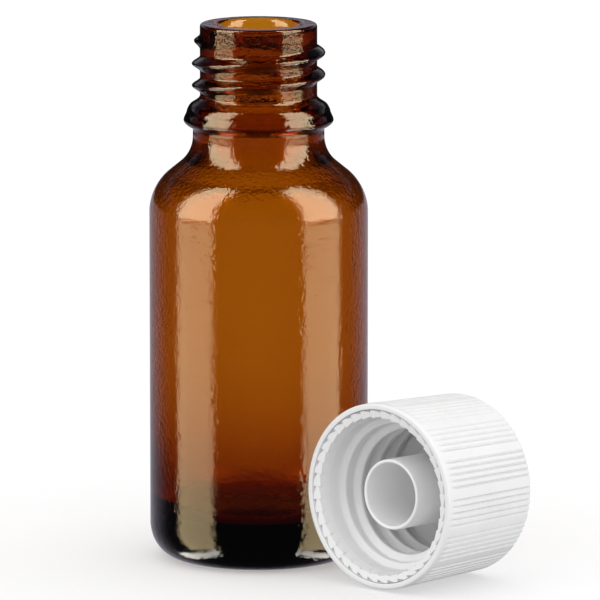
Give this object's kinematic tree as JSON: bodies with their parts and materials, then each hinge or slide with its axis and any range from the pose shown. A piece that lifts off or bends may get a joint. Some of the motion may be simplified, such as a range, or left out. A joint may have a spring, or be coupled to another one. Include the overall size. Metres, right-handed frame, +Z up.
{
  "type": "screw-neck glass vial",
  "caption": "Amber glass screw-neck vial with its white ribbed push-and-turn closure lying open beside it.",
  "frame": {"origin": "centre of the recessed disc in the bottle's base, on the bottle's axis", "axes": "+Z up the bottle's axis, out of its mouth; the closure lies on the same floor at +X and -Y"},
  "size_m": [0.0498, 0.0455, 0.0709],
  "materials": {
    "amber_glass": "polished, transparent",
    "shell_plastic": "satin moulded",
    "closure_plastic": "satin moulded",
    "plug_plastic": "soft satin"
  },
  "bodies": {
    "bottle": {"glass_bottle": "amber_glass"},
    "shell": {"outer_cap": "shell_plastic"},
    "plug": {"seal_plug": "plug_plastic"},
    "liner": {"inner_cap": "closure_plastic", "tamper_ring": "closure_plastic"}
  },
  "joints": [
    {"name": "closure_lift", "type": "slide", "parent": "bottle", "child": "shell", "axis": [0, 0, 1], "range_m": [0, 0.08]},
    {"name": "shell_push", "type": "slide", "parent": "shell", "child": "plug", "axis": [0.6623, 0.7486, -0.0289], "range_m": [0, 0.0008], "stiffness_N_per_m": 800, "springref_m": -0.001},
    {"name": "shell_turn", "type": "hinge", "parent": "plug", "child": "liner", "pos_m": [0.0155, -0.0231, 0.01219], "axis": [0.6623, 0.7486, -0.0289], "continuous": true}
  ]
}
